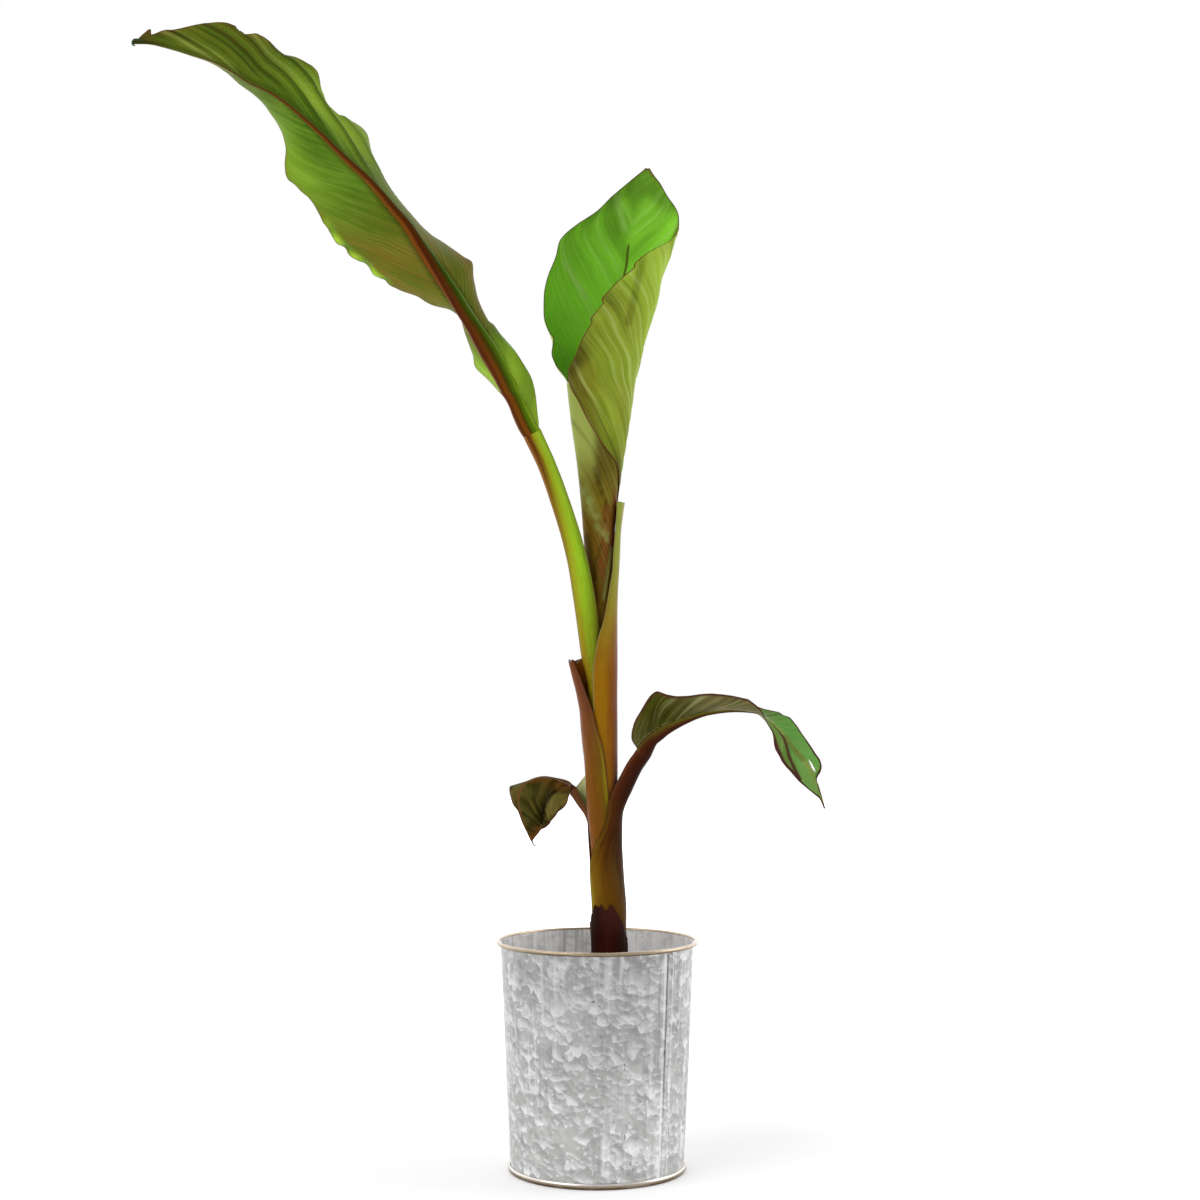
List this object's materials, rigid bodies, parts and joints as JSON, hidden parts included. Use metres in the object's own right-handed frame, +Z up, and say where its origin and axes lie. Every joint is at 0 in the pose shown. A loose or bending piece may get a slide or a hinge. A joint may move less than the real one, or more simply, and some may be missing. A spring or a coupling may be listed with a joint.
{
  "type": "potted banana plant",
  "caption": "Young banana plant with a long leaning leaf, a leaf still rolled up, small drooping leaves and cut leaf stalks, in a round zinc bucket of soil.",
  "frame": {"origin": "centre of the bucket's flat underside", "axes": "+Z up along the bucket's axis; -Y towards the side the plant is seen from, with the long leaf leaning to -X and the drooping leaf to +X"},
  "size_m": [0.7356, 0.2672, 1.222],
  "materials": {
    "zinc": "mottled hot-dip galvanised",
    "brassy_zinc": "galvanised with a brassy tint",
    "soil": "rough",
    "stem": "satin, ochre to maroon",
    "leaf": "satin green, olive and purplish under"
  },
  "bodies": {
    "root": {"pot_wall": "zinc", "pot_rim_bead": "brassy_zinc", "pot_foot_band": "brassy_zinc", "pot_side_seam": "zinc", "potting_soil": "soil", "stem_core": "stem", "old_leaf_base": "stem", "right_leaf_stalk": "stem", "small_leaf_stalk": "stem", "left_cut_stalk": "stem", "right_cut_stalk": "stem", "big_leaf_stalk": "stem", "big_leaf_blade": "leaf", "right_leaf_arched_blade": "leaf", "right_leaf_drooping_blade": "leaf", "small_leaf_blade": "leaf", "rolled_leaf_cone": "leaf", "rolled_leaf_hood": "leaf"}
  },
  "joints": []
}
